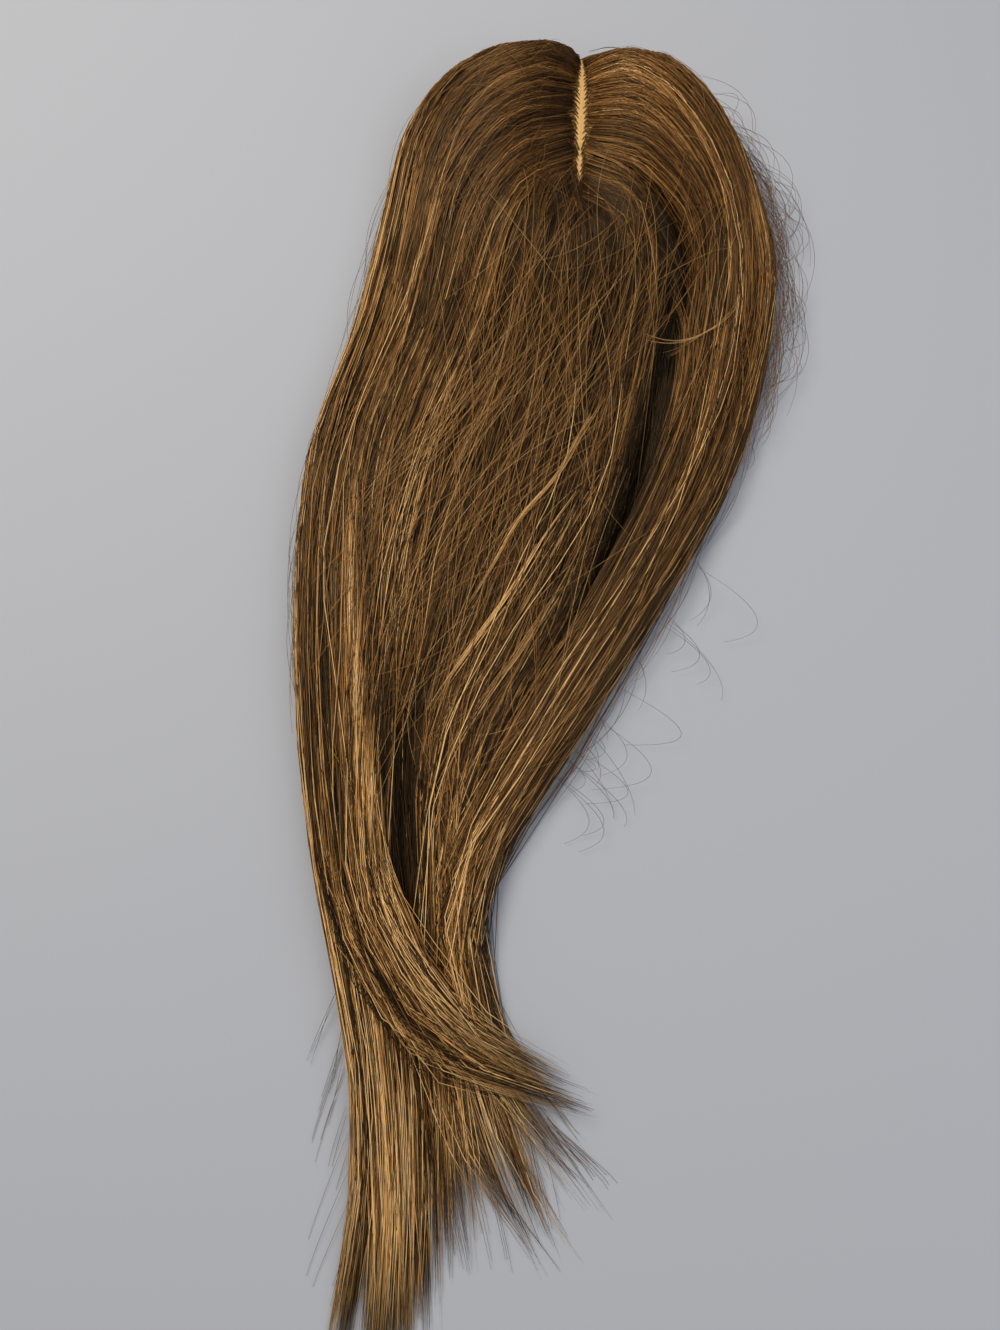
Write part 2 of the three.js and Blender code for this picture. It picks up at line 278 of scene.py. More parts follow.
def makeLock(row):
    # everything about a lock at even steps of its length, so that strands and cores can read it by distance
    line = lockLine(row)
    run = lengthsAlong(line)
    dist = np.linspace(0, run[-1], lockForm["stations"])
    length = run[-1] - lockForm["runOut"]
    x, y = (np.interp(dist, run, line[:, i]) for i in (0, 1))
    dx, dy = np.gradient(x, dist), np.gradient(y, dist)
    size = np.hypot(dx, dy)
    down = -y
    shapeDown = -np.array(lockShape["y"])
    taper = smooth(length - dist, *lockForm["tipTaper"])
    width = np.interp(down, shapeDown, lockShape["width"]) * row["width"]
    loft = np.interp(down, shapeDown, lockShape["loft"]) * row["loft"]
    sinkFrom, sinkTo, sinkShare = row["sunk"]
    sunk = sinkShare * smooth(down, sinkFrom, sinkTo)
    flat = smooth(dist - lockForm["runIn"], *lockForm["rootFlat"])
    closed = lockForm["rootEdge"] + (lockForm["closedEdge"] - lockForm["rootEdge"]) * flat
    parted = smooth(down, *lockForm["parted"]) * (row["carried"] == 0)
    closed = closed + (lockForm["openEdge"] - closed) * parted
    opened = np.full_like(dist, lockForm["openEdge"])
    return {
        "row": row, "side": math.copysign(1, row["belly"]), "length": length, "dist": dist, "x": x, "y": y,
        "sideX": dy / size, "sideY": -dx / size,
        "half": (lockForm["tipWidth"] + (width - lockForm["tipWidth"]) * taper) / 2,
        "loft": lockForm["tipLoft"] + (loft * (1 - sunk) - lockForm["tipLoft"]) * taper,
        "sunk": sunk,
        "carried": row["carried"] * smooth(down, *lockForm["crossing"]),
        "edgeLeft": opened if row["open"] == "left" else closed,
        "edgeRight": opened if row["open"] == "right" else closed,
    }


def onLock(lock, dist, across):
    # a point on a lock's surface: across runs from -1 on its right edge to 1 on its left edge, and past an
    # open edge it goes down the side
    names = ("x", "y", "sideX", "sideY", "half", "loft", "carried", "edgeLeft", "edgeRight")
    at = {name: np.interp(dist, lock["dist"], lock[name]) for name in names}
    inside = np.clip(across, -1, 1)
    openEdge = {"left": inside > 0, "right": inside < 0}.get(lock["row"]["open"], np.zeros_like(inside, bool))
    edge = np.where(across > 0, at["edgeLeft"], at["edgeRight"])
    arch = edge + (1 - edge) * np.sqrt(1 - inside ** 2)
    offset = np.where(openEdge, inside, across) * at["half"]
    x = at["x"] + at["sideX"] * offset
    y = at["y"] + at["sideY"] * offset
    past = np.clip(np.abs(across) - 1, 0, lockForm["overEdge"]) / lockForm["overEdge"]
    fall = 1 - past * lockForm["edgeFall"] * openEdge
    z = (drapeHeight(x, y) + at["loft"] * arch * rootRise(x, y)) * fall
    return x, y, at["carried"] + np.minimum(z, browHeight(y, lock["side"]))


locks = {}
for node, rows in lockRows.items():
    locks[node] = [makeLock({**usualLock, **usualIn[node], **row}) for row in rows]
print("locks laid out")

# surfaces: the tops of each side's locks as a map of heights, softened so that neighbours run together
surface = {"low": (-125, -490), "cells": (230, 520), "samples": (900, 61), "softenings": 5, "lying": 0.5}


def makeSurface(group):
    heights = np.zeros(surface["cells"])
    alongSteps, acrossSteps = surface["samples"]
    for lock in group:
        along = np.linspace(0, lock["length"], alongSteps)
        dist, across = np.meshgrid(along, np.linspace(-1, 1, acrossSteps))
        x, y, z = onLock(lock, dist, across)
        lying = np.interp(dist, lock["dist"], lock["carried"]) < surface["lying"]
        column = np.rint(x[lying] - surface["low"][0]).astype(int)
        line = np.rint(y[lying] - surface["low"][1]).astype(int)
        np.maximum.at(heights, (column, line), z[lying])
    for axis in [0, 1] * surface["softenings"]:
        near = np.roll(heights, 1, axis) + np.roll(heights, -1, axis)
        far = np.roll(heights, 2, axis) + np.roll(heights, -2, axis)
        heights = (6 * heights + 4 * near + far) / 16
    return heights


def heightAt(heights, x, y):
    across = np.clip(x - surface["low"][0], 0, surface["cells"][0] - 2)
    down = np.clip(y - surface["low"][1], 0, surface["cells"][1] - 2)
    i, j = across.astype(int), down.astype(int)
    u, v = across - i, down - j
    near = heights[i, j] * (1 - v) + heights[i, j + 1] * v
    far = heights[i + 1, j] * (1 - v) + heights[i + 1, j + 1] * v
    return near * (1 - u) + far * u


leftAndBack = makeSurface(locks["hair_left"] + locks["hair_back"])
rightSide = makeSurface(locks["hair_right"])
surfaces = {"hair_left": leftAndBack, "hair_back": leftAndBack, "hair_right": rightSide}
wholeSurface = np.maximum(leftAndBack, rightSide)
print("surfaces mapped")

# materials

# human hair, straight and silky: dark brown with golden strands, each a smooth cylinder that shines along its
# length. Painted glints break the colour into lighter and darker dashes along each strand where its crimp
# catches the light, coarser than the real crimp so that they show
strandLook = {
    "tones": [(0.0, "#0f0904"), (0.32, "#402914"), (0.6, "#7c552b"), (0.85, "#b98c51"), (1.0, "#e0ba80")],
    "glintDashMm": 4.0, "lengthMm": 480, "apart": 4000, "glintDashFrom": (0.3, 0.7), "glintDash": (0.4, 1.7),
    "roughness": 0.42, "ior": 1.55, "shine": "#e2c194",
}


def makeStrandMaterial():
    material, tree = newMaterial("brown_human_hair")
    tone = addNode(tree, "ShaderNodeAttribute", {"attribute_name": "tone"})
    ramp = addNode(tree, "ShaderNodeValToRGB", None, {"Fac": tone.outputs["Fac"]})
    setRamp(ramp, strandLook["tones"])
    column = addNode(tree, "ShaderNodeUVMap", {"uv_map": "OFBake"})
    # painted glints: the hair colour is scaled up and down in short dashes along each strand
    glintDashes = (strandLook["apart"], strandLook["lengthMm"] / strandLook["glintDashMm"], 0)
    stretch = addNode(tree, "ShaderNodeVectorMath", {"operation": "MULTIPLY", 1: glintDashes},
                      {0: column.outputs["UV"]})
    glintDash = addNode(tree, "ShaderNodeTexNoise", {"Scale": 1.0, "Detail": 2.0},
                    {"Vector": stretch.outputs["Vector"]})
    lighter = addNode(tree, "ShaderNodeMapRange",
                      {"From Min": strandLook["glintDashFrom"][0], "From Max": strandLook["glintDashFrom"][1],
                       "To Min": strandLook["glintDash"][0], "To Max": strandLook["glintDash"][1]},
                      {"Value": glintDash.outputs["Fac"]})
    shade = addNode(tree, "ShaderNodeVectorMath", {"operation": "SCALE"},
                    {"Vector": ramp.outputs["Color"], "Scale": lighter.outputs["Result"]})
    shader = addNode(tree, "ShaderNodeBsdfPrincipled",
                     {"Roughness": strandLook["roughness"], "IOR": strandLook["ior"],
                      "Specular Tint": linear(strandLook["shine"])},
                     {"Base Color": shade.outputs["Vector"]})
    addNode(tree, "ShaderNodeOutputMaterial", None, {"Surface": shader.outputs["BSDF"]})
    return material


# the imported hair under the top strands: the same brown, in shade, with streaks about 0.6 mm wide
coreLook = {"dark": (0.35, "#120b06"), "light": (0.7, "#3a2815"), "streakMm": 0.6, "streakLongMm": 60,
            "bump": 0.5, "bumpMm": 0.4, "roughness": 0.7, "gloss": 0.12}


def makeCoreMaterial():
    material, tree = newMaterial("packed_hair_in_shade")
    along = addNode(tree, "ShaderNodeAttribute", {"attribute_name": "alongMm"})
    across = addNode(tree, "ShaderNodeAttribute", {"attribute_name": "acrossMm"})
    longways = addNode(tree, "ShaderNodeMath", {"operation": "DIVIDE", 1: coreLook["streakLongMm"]},
                       {0: along.outputs["Fac"]})
    sideways = addNode(tree, "ShaderNodeMath", {"operation": "DIVIDE", 1: coreLook["streakMm"]},
                       {0: across.outputs["Fac"]})
    where = addNode(tree, "ShaderNodeCombineXYZ", None, {"X": sideways.outputs[0], "Y": longways.outputs[0]})
    streaks = addNode(tree, "ShaderNodeTexNoise", {"Scale": 1.0, "Detail": 3.0, "Roughness": 0.6},
                      {"Vector": where.outputs[0]})
    ramp = addNode(tree, "ShaderNodeValToRGB", None, {"Fac": streaks.outputs["Fac"]})
    setRamp(ramp, [coreLook["dark"], coreLook["light"]])
    bump = addNode(tree, "ShaderNodeBump",
                   {"Strength": coreLook["bump"], "Distance": coreLook["bumpMm"] * mm},
                   {"Height": streaks.outputs["Fac"]})
    shader = addNode(tree, "ShaderNodeBsdfPrincipled",
                     {"Roughness": coreLook["roughness"], "Specular IOR Level": coreLook["gloss"]},
                     {"Base Color": ramp.outputs["Color"], "Normal": bump.outputs["Normal"]})
    addNode(tree, "ShaderNodeOutputMaterial", None, {"Surface": shader.outputs["BSDF"]})
    return material


# woven skin-coloured cap mesh: matt tan threads about 0.5 mm apart; a wave of scale 1 repeats every 0.314
capLook = {"gap": (0.25, "#94703c"), "thread": (0.75, "#c99f5e"), "spacingMm": 0.5, "waveLength": 0.314,
           "crooked": 0.6, "bump": 0.4, "bumpMm": 0.2, "roughness": 0.8}


def makeCapMaterial():
    material, tree = newMaterial("skin_colour_mesh")
    place = addNode(tree, "ShaderNodeTexCoord")
    waves = []
    for direction in ("X", "Y"):
        waves.append(addNode(tree, "ShaderNodeTexWave",
                             {"bands_direction": direction, "Distortion": capLook["crooked"], "Detail": 1.0,
                              "Scale": capLook["waveLength"] / (capLook["spacingMm"] * mm)},
                             {"Vector": place.outputs["Object"]}))
    weave = addNode(tree, "ShaderNodeMath", {"operation": "MAXIMUM"},
                    {0: waves[0].outputs["Fac"], 1: waves[1].outputs["Fac"]})
    ramp = addNode(tree, "ShaderNodeValToRGB", None, {"Fac": weave.outputs[0]})
    setRamp(ramp, [capLook["gap"], capLook["thread"]])
    bump = addNode(tree, "ShaderNodeBump", {"Strength": capLook["bump"], "Distance": capLook["bumpMm"] * mm},
                   {"Height": weave.outputs[0]})
    shader = addNode(tree, "ShaderNodeBsdfPrincipled", {"Roughness": capLook["roughness"]},
                     {"Base Color": ramp.outputs["Color"], "Normal": bump.outputs["Normal"]})
    addNode(tree, "ShaderNodeOutputMaterial", None, {"Surface": shader.outputs["BSDF"]})
    return material


# spring steel in dark brown enamel, thinner in places
clipLook = {"enamel": (0.45, "#33241a"), "thin": (0.75, "#5a4636"), "grainMm": 2.5, "roughness": 0.38,
            "coat": 0.3}


def makeClipMaterial():
    material, tree = newMaterial("brown_enamelled_steel")
    place = addNode(tree, "ShaderNodeTexCoord")
    speckle = addNode(tree, "ShaderNodeTexNoise", {"Scale": 1 / (clipLook["grainMm"] * mm), "Detail": 4.0},
                      {"Vector": place.outputs["Object"]})
    ramp = addNode(tree, "ShaderNodeValToRGB", None, {"Fac": speckle.outputs["Fac"]})
    setRamp(ramp, [clipLook["enamel"], clipLook["thin"]])
    shader = addNode(tree, "ShaderNodeBsdfPrincipled",
                     {"Roughness": clipLook["roughness"], "Coat Weight": clipLook["coat"]},
                     {"Base Color": ramp.outputs["Color"]})
    addNode(tree, "ShaderNodeOutputMaterial", None, {"Surface": shader.outputs["BSDF"]})
    return material


strandMaterial = makeStrandMaterial()
coreMaterial = makeCoreMaterial()
capMaterial = makeCapMaterial()
clipMaterial = makeClipMaterial()
print("materials made")


def shellMesh(shell, name):
    for face in shell.faces:
        face.smooth = True
    mesh = bpy.data.meshes.new(name)
    shell.to_mesh(mesh)
    shell.free()
    return mesh


def addPiece(name, mesh, material, nodes):
    piece = bpy.data.objects.new(name, mesh)
    mesh.materials.append(material)
    scene.collection.objects.link(piece)
    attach(piece, "root")
    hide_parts(*nodes)


# cap: the base as a smooth turned shell
def makeCap():
    inner = base["width"] / 2 - base["wall"], base["crown"] - base["wall"]
    outer = base["width"] / 2, base["crown"]
    shares = np.linspace(0, 1, base["profileSteps"] + 1)
    profile = [(inner[0] * s, inner[1] * (1 - s ** base["power"])) for s in shares]
    profile += [(outer[0] * s, outer[1] * (1 - s ** base["power"])) for s in shares[::-1]]
    shell = bmesh.new()
    verts = [shell.verts.new((r * mm, 0, z * mm)) for r, z in profile]
    edges = [shell.edges.new(pair) for pair in zip(verts, verts[1:])]
    bmesh.ops.spin(shell, geom=verts + edges, axis=(0, 0, 1), cent=(0, 0, 0), angle=math.tau,
                   steps=base["turnSteps"], use_merge=True)
    bmesh.ops.remove_doubles(shell, verts=shell.verts, dist=base["mergeMm"] * mm)
    bmesh.ops.recalc_face_normals(shell, faces=shell.faces)
    bmesh.ops.scale(shell, vec=(1, base["depth"] / base["width"], 1), verts=shell.verts)
    bmesh.ops.translate(shell, vec=toRow((0, baseMiddle, 0)), verts=shell.verts)
    addPiece("scalp_cap", shellMesh(shell, "scalp_cap"), capMaterial, ["scalp_base"])


makeCap()
print("cap made")

for node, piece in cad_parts.items():
    if node.startswith("clip_"):
        piece.data.materials.clear()
        piece.data.materials.append(clipMaterial)

# cores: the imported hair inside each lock, kept under the top strands. Each starts beside the bare strip, as a
# skin on the base that lies lower than the roots
core = {"rings": 40, "topSteps": 10, "topReach": 0.94, "inset": 1.9, "clear": 0.5, "skin": 0.3, "thin": 0.1,
        "tipLeft": 18, "taper": 70, "tipShare": 0.15, "offStrip": 1.2, "comesUp": 22, "rootShare": 0.15,
        "lowest": 0.4}


def coreRings(lock, heights):
    side = lock["side"]
    near = np.linspace(*strip["search"])
    x, y, z = onLock(lock, near, np.zeros_like(near))
    first = near[np.argmax((x - stripMiddle(y)) * side >= bareStrip(y) + core["offStrip"])]
    last = lock["length"] * lock["row"]["ends"][0] - core["tipLeft"]
    dists = np.linspace(first, last, core["rings"])
    top = np.linspace(-core["topReach"], core["topReach"], core["topSteps"] + 1)
    rings = []
    for dist in dists:
        fading = smooth(last - dist, 0, core["taper"])
        narrow = core["tipShare"] + (1 - core["tipShare"]) * fading
        x, y, z = onLock(lock, np.full_like(top, dist), top * narrow)
        middle = stripMiddle(y)
        x = middle + side * np.maximum(side * (x - middle), bareStrip(y) + core["offStrip"])
        carried = np.interp(dist, lock["dist"], lock["carried"])
        if carried < surface["lying"]:
            z = np.minimum(z, heightAt(heights, x, y))
        up = core["rootShare"] + (1 - core["rootShare"]) * smooth(dist - first, 0, core["comesUp"])
        floor = np.maximum(core["lowest"], domeHeight(x, y) + core["clear"] * up) + carried
        z = floor + np.maximum(z - core["inset"] - floor, core["skin"] * up) * fading + core["thin"] * up
        upper = np.stack([x, y, z], 1)
        lower = np.stack([x, y, floor], 1)[::-1]
        rings.append(toRow(np.vstack([upper, lower])))
    return dists, rings


def sweepRings(shell, dists, rings):
    layers = shell.verts.layers.float
    alongLayer = layers.get("alongMm") or layers.new("alongMm")
    acrossLayer = layers.get("acrossMm") or layers.new("acrossMm")
    verts = [shell.verts.new(point) for point in rings[0]]
    edges = [shell.edges.new((a, b)) for a, b in zip(verts, verts[1:] + verts[:1])]
    ends = [list(edges)]
    middle = len(rings[0]) / 2
    for step, dist in enumerate(dists):
        if step:
            made = bmesh.ops.extrude_edge_only(shell, edges=edges)["geom"]
            fresh = {part for part in made if isinstance(part, bmesh.types.BMVert)}
            edges = [part for part in made if isinstance(part, bmesh.types.BMEdge)]
            edges = [part for part in edges if fresh.issuperset(part.verts)]
            verts = [next(e.other_vert(v) for e in v.link_edges if e.other_vert(v) in fresh) for v in verts]
        span = np.linalg.norm(rings[step][0] - rings[step][core["topSteps"]]) / mm / core["topSteps"]
        for k, vert in enumerate(verts):
            vert.co = rings[step][k]
            vert[alongLayer] = dist
            vert[acrossLayer] = abs(k - middle) * span
    ends.append(edges)
    for rim in ends:
        bmesh.ops.holes_fill(shell, edges=rim)


def makeCore(node):
    shell = bmesh.new()
    for lock in locks[node]:
        sweepRings(shell, *coreRings(lock, surfaces[node]))
    bmesh.ops.recalc_face_normals(shell, faces=shell.faces)
    name = node + "_core"
    addPiece(name, shellMesh(shell, name), coreMaterial, [node])


for node in locks:
    makeCore(node)
print("cores made")

# strands: each a closed three-sided tube that thins to its tip, with one thin column of the map for itself
tube = {"turnsDeg": (90, 210, 330), "tiny": 1e-9, "columnLeft": 0.2, "columnWide": 0.6, "mapRim": 0.01}


def tubeMesh(name, points, radius, tone):
    # points: strands x rings x 3, in millimetres
    count, rings = points.shape[:2]
    ahead = np.gradient(points, axis=1)
    ahead /= np.linalg.norm(ahead, axis=2, keepdims=True) + tube["tiny"]
    side = np.cross(ahead, [0.0, 0.0, 1.0])
    side /= np.linalg.norm(side, axis=2, keepdims=True) + tube["tiny"]
    up = np.cross(side, ahead)
    corners = []
    for turn in tube["turnsDeg"]:
        a = math.radians(turn)
        corners.append(points + radius[..., None] * (math.cos(a) * side + math.sin(a) * up))
    verts = toRow(np.stack(corners, 2)).reshape(-1, 3)
    ring = np.arange(count * rings * 3).reshape(count, rings, 3)
    here, there = ring[:, :-1], ring[:, 1:]
    turned = np.roll(np.arange(3), -1)
    quads = np.stack([here, there, there[..., turned], here[..., turned]], -1).reshape(-1, 4)
    caps = np.vstack([ring[:, 0], ring[:, -1][:, ::-1]])
    mesh = bpy.data.meshes.new(name)
    mesh.vertices.add(len(verts))
    mesh.vertices.foreach_set("co", verts.astype(np.float32).ravel())
    corner = np.concatenate([quads.ravel(), caps.ravel()]).astype(np.int32)
    sizes = np.concatenate([np.full(len(quads), 4), np.full(len(caps), 3)])
    starts = np.concatenate([[0], np.cumsum(sizes)[:-1]]).astype(np.int32)
    mesh.loops.add(len(corner))
    mesh.loops.foreach_set("vertex_index", corner)
    mesh.polygons.add(len(sizes))
    mesh.polygons.foreach_set("loop_start", starts)
    mesh.polygons.foreach_set("use_smooth", np.ones(len(sizes), bool))
    layer = mesh.attributes.new("tone", "FLOAT", "POINT")
    layer.data.foreach_set("value", np.repeat(tone.reshape(-1), 3).astype(np.float32))
    owner = corner // 3
    across = np.tile([0.0, 0.0, tube["columnWide"], tube["columnWide"]], len(corner) // 4 + 1)[:len(corner)]
    column = (owner // rings + tube["columnLeft"]) / count + across / count
    rise = tube["mapRim"] + (1 - 2 * tube["mapRim"]) * (owner % rings) / (rings - 1)
    layer = mesh.uv_layers.new(name="OFBake")
    layer.data.foreach_set("uv", np.stack([column, rise], 1).astype(np.float32).ravel())
    mesh.update(calc_edges=True)
    mesh.validate()
    return mesh


def rootDistance(lock, across, rng):
    # how far along its lock each strand leaves the base, beside the bare strip
    n = len(across)
    dist = np.linspace(*strip["search"])
    x, y, z = onLock(lock, *np.broadcast_arrays(dist[None, :], across[:, None]))
    barb = strip["barb"] * (((y + strip["barbSlope"] * lock["side"] * x) / strip["barbEvery"]) % 1 - 0.5)
    uneven = rng.uniform(-strip["uneven"], strip["uneven"], (n, 1))
    bare = np.maximum(bareStrip(y) * (1 + barb + uneven), strip["least"])
    beside = (x - stripMiddle(y)) * lock["side"] >= bare
    if lock["row"]["root"] > strip["crownRoots"]:
        late = rng.uniform(0, strip["crownLate"], (n, 1))
        beside = beside & (y <= -strip["crownStart"] - late)
        beside = beside | (y <= strip["y"][-1] - strip["crownShare"] * late)
    beside[:, -1] = True
    return dist[np.argmax(beside, axis=1)]


# where the hair is lighter or darker in plan; some spots are painted sheen and painted shade, as noted
toneSpots = [
    dict(place=(-5, -38), reach=(4, 32), amount=-0.1),    # shade to the left of the parting
    dict(place=(-24, -28), reach=(12, 28), amount=0.06),   # lighter beyond it
    dict(place=(14, -35), reach=(16, 35), amount=0.1),    # painted light on the slope to the right of it
    dict(place=(-62, -80), reach=(12, 45), amount=0.18),   # painted sheen on the left temple
    dict(place=(4, -98), reach=(30, 27), amount=-0.17),    # crown
    dict(place=(-12, -185), reach=(42, 50), amount=-0.16),  # middle
    dict(place=(50, -125), reach=(14, 50), amount=-0.07),  # inner part of the right curtain
    dict(place=(-94, -230), reach=(6, 80), amount=-0.1),   # left edge
    dict(place=(68, -85), reach=(9, 45), amount=0.14),     # painted sheen on the outer edge of the right curtain
    dict(place=(-44, -305), reach=(10, 30), amount=0.2),  # painted sheen where the right bundle turns
    dict(place=(-76, -300), reach=(10, 35), amount=0.1),   # painted sheen on the crossing bundle
    dict(place=(-78, -326), reach=(7, 20), amount=0.24),   # painted sheen on its golden side
    dict(place=(-68, -405), reach=(14, 50), amount=0.22),  # painted sheen on the tail
    dict(place=(-45, -352), reach=(14, 9), amount=0.12),   # where it crosses
    dict(place=(-57, -318), reach=(4, 25), amount=-0.12),  # dark bundle beside the slit
    dict(place=(-60, -250), reach=(40, 25), amount=-0.06),  # lower middle
    dict(place=(-36, -388), reach=(16, 25), amount=0.36),  # wisps
]

# lines in plan along which the hair is lighter and stands up, or darker and sinks, with half their width:
# painted sheen along the bright lock, painted shade in the gaps; some leave out the hair that crosses over
toneLines = [
    dict(points=[(-81, -165), (-80, -190), (-78, -225), (-76, -250), (-73, -270), (-65, -315), (-52, -345)],
         half=2.6, amount=0.68, fadeIn=90),   # bright lock, with painted sheen along it
    dict(points=[(-74, -190), (-71, -225), (-69, -255), (-66, -285), (-62, -315), (-58, -338)],
         half=2.2, amount=-0.5, lying=True),   # painted shade in the slit beside it
    dict(points=[(26, -75), (32, -95), (34, -117), (32, -143), (21, -180), (9, -202), (0, -218)],
         half=3.0, amount=-0.4),   # painted shade in the gap inside the right curtain
    dict(points=[(-85, -290), (-82, -315), (-73, -335), (-60, -350), (-44, -362), (-28, -371)],
         half=3.0, amount=-0.2),   # painted shade along the lower edge of the crossing bundle
    dict(points=[(-74, -318), (-66, -338), (-50, -355), (-31, -367), (-18, -372)],
         half=4.5, amount=-0.2),   # its middle
    dict(points=[(-38, -206), (-43, -218), (-48, -229), (-54, -243), (-58, -262)],
         half=2.0, amount=-0.35),   # painted shade in the gap in the middle
    dict(points=[(-55, -290), (-53, -310), (-50, -328), (-47, -345)],
         half=1.3, amount=-0.4, lying=True),   # painted shade in the gap in the right bundle
    dict(points=[(-58, -350), (-49, -373), (-39, -391), (-29, -410)],
         half=2.6, amount=0.3),   # bright wisp
]
lineFade = {"before": 5, "in": 25, "out": 15, "lyingTo": 3}


def lineTone(x, y, carried):
    tone = np.zeros_like(x)
    for line in toneLines:
        places = np.array(line["points"])
        top, bottom = places[0, 1], places[-1, 1]
        middle = np.interp(-y, -places[:, 1], places[:, 0])
        within = smooth(-y, -top - lineFade["before"], -top + line.get("fadeIn", lineFade["in"]))
        within = within * smooth(y, bottom - lineFade["before"], bottom + lineFade["out"])
        if "lying" in line:
            within = within * (1 - smooth(carried, 0, lineFade["lyingTo"]))
        tone = tone + line["amount"] * within * np.exp(-((x - middle) / line["half"]) ** 2)
    return tone


def spotTone(x, y):
    tone = np.zeros_like(x)
    for spot in toneSpots:
        (atX, atY), (reachX, reachY) = spot["place"], spot["reach"]
        tone = tone + spot["amount"] * np.exp(-(((x - atX) / reachX) ** 2 + ((y - atY) / reachY) ** 2))
    return tone


# how the strands of a lock are spread, lifted and toned
strand = {
    "count": 470, "rings": 20, "crowding": 1.5, "jitter": 0.35, "pointed": 1.1, "laterRoots": 0.7,
    "laterReach": 40, "buried": 2.2,
    "radius": (0.17, 0.07), "thinDeep": 0.6, "vary": (0.75, 1.25), "rootThick": 0.55, "tipThin": 0.8,
    "clumps": 38, "clumpPull": 0.5, "tipPull": 0.42, "tipSplay": 0.25, "drift": 0.35, "weave": 0.08,
    "weaveTurns": 1.1, "wander": 0.11, "looseWander": 0.5, "swaySizes": (1, 0.5, 0.3),
    "swayTurns": (0.9, 2.3, 4.1), "widest": 2, "rimBack": 1, "rimOver": 3, "rimUneven": 2,
    "valley": 1.4, "valleyHalf": 0.12, "valleyMost": 1.5, "depth": 2.2, "depthPower": 1.5,
    "clumpLift": (-1.6, 0.4), "looseLift": 2.0, "looseVary": (0.3, 1.0), "lineLift": 1.2, "rootLift": 1.0,
    "lowest": 0.3, "clear": 0.15, "carriedGround": 0.9,
    "tone": 0.268, "laneTone": 0.06, "lanes": 4, "clumpTone": 0.18, "clumpMost": 0.4, "strandTone": 0.18,
    "looseTone": 0.06, "deepShade": 0.32, "deepMiddle": 0.4, "tipContrast": 0.75, "sunkShade": 0.9,
    "tipTone": 0.22, "laneSeed": 100, "lockSeed": 1000, "seedStep": 37,
}

# where each change comes in, in shares of the length, or in millimetres where the name says so
comesIn = {
    "gather": (0.05, 0.45), "tips": (0.7, 0.95), "sway": (0.02, 0.3), "drift": (0.1, 0.85),
    "weave": (0.1, 0.4), "splay": (0.8, 1.0), "openSide": (0.55, 0.95), "tipThin": (0.93, 1.0),
    "tipTone": (0.82, 0.95), "sunkEnd": (0.75, 0.9),
    "rimMm": (0, 14), "carriedMm": (0, 2), "settledMm": (5, 60), "buriedMm": (0, 18),
    "rootLiftMm": (0, 12), "riseMm": (-1, 4), "thickMm": (0, 50), "contrastMm": (20, 110),
    "rootLightShadeMm": (15, 70),
}


